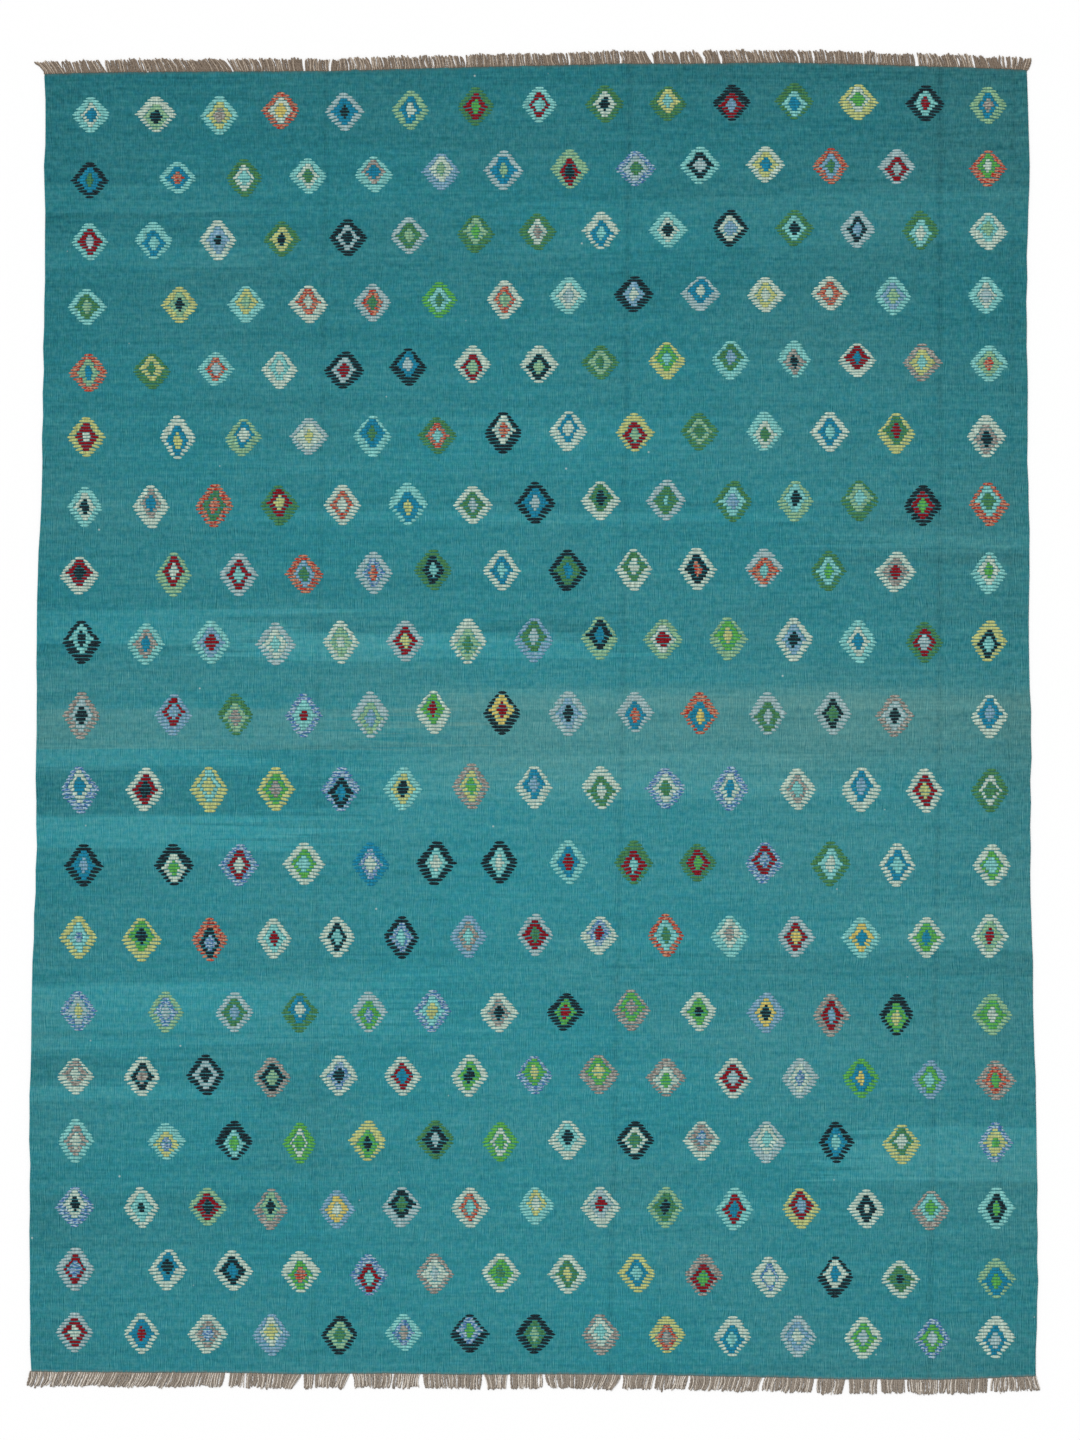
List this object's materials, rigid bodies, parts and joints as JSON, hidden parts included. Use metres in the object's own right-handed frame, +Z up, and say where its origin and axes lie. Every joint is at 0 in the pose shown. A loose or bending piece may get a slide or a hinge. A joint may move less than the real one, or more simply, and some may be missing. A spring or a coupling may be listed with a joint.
{
  "type": "kilim rug",
  "caption": "Flat-woven wool floor rug with rows of small stepped diamonds on a plain ground and a short cut warp fringe at both ends.",
  "frame": {"origin": "middle of the whole rug, fringes included, on its underside", "axes": "+X across the rug, +Y along its length towards the end at the top of the picture, +Z up from the floor"},
  "size_m": [2.6, 3.451, 0.0033],
  "materials": {
    "teal_weave": "matt weft-faced wool",
    "warp_yarn": "matt undyed twisted wool"
  },
  "bodies": {
    "root": {"kilim_cloth": "teal_weave", "warp_fringe_upper": "warp_yarn", "warp_fringe_lower": "warp_yarn"}
  },
  "joints": []
}
